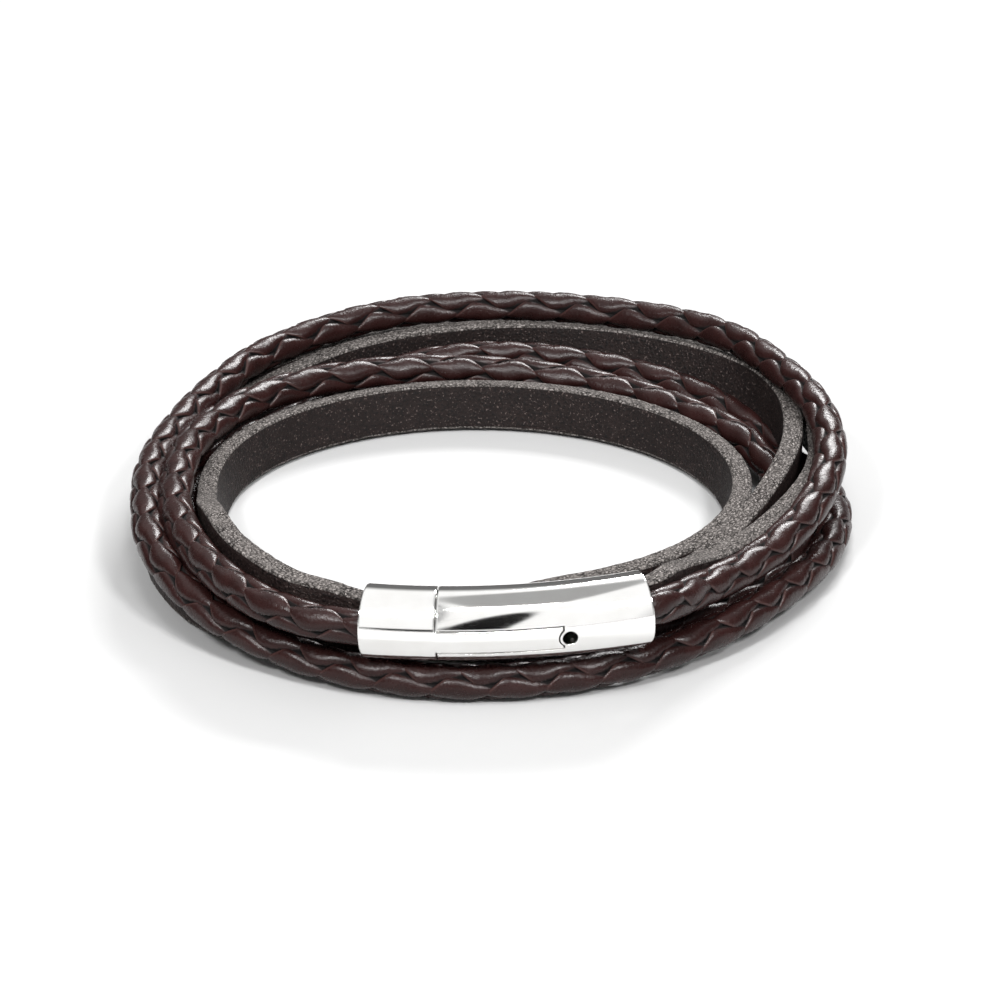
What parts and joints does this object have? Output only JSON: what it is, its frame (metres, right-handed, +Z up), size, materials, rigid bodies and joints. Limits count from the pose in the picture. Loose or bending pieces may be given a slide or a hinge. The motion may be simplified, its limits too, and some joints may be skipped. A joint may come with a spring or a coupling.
{
  "type": "layered leather bracelet",
  "caption": "Wrap bracelet of a round braided leather cord and a flat leather strap laid side by side in turns, both ends held in a polished tube clasp.",
  "frame": {"origin": "middle of the bounding box at the surface the bracelet lies on", "axes": "+X to the right seen from the clasp's side, +Y from the clasp to the far side, +Z up, out of the wrist opening"},
  "size_m": [0.0856, 0.0908, 0.0139],
  "materials": {
    "braid_leather": "semi-gloss dark brown braided leather",
    "strap_leather": "matt dark brown leather with grey raw edges",
    "clasp_metal": "polished"
  },
  "bodies": {
    "root": {"clasp_cap": "clasp_metal", "clasp_barrel": "clasp_metal", "flat_strap": "strap_leather", "braided_cord": "braid_leather"}
  },
  "joints": []
}
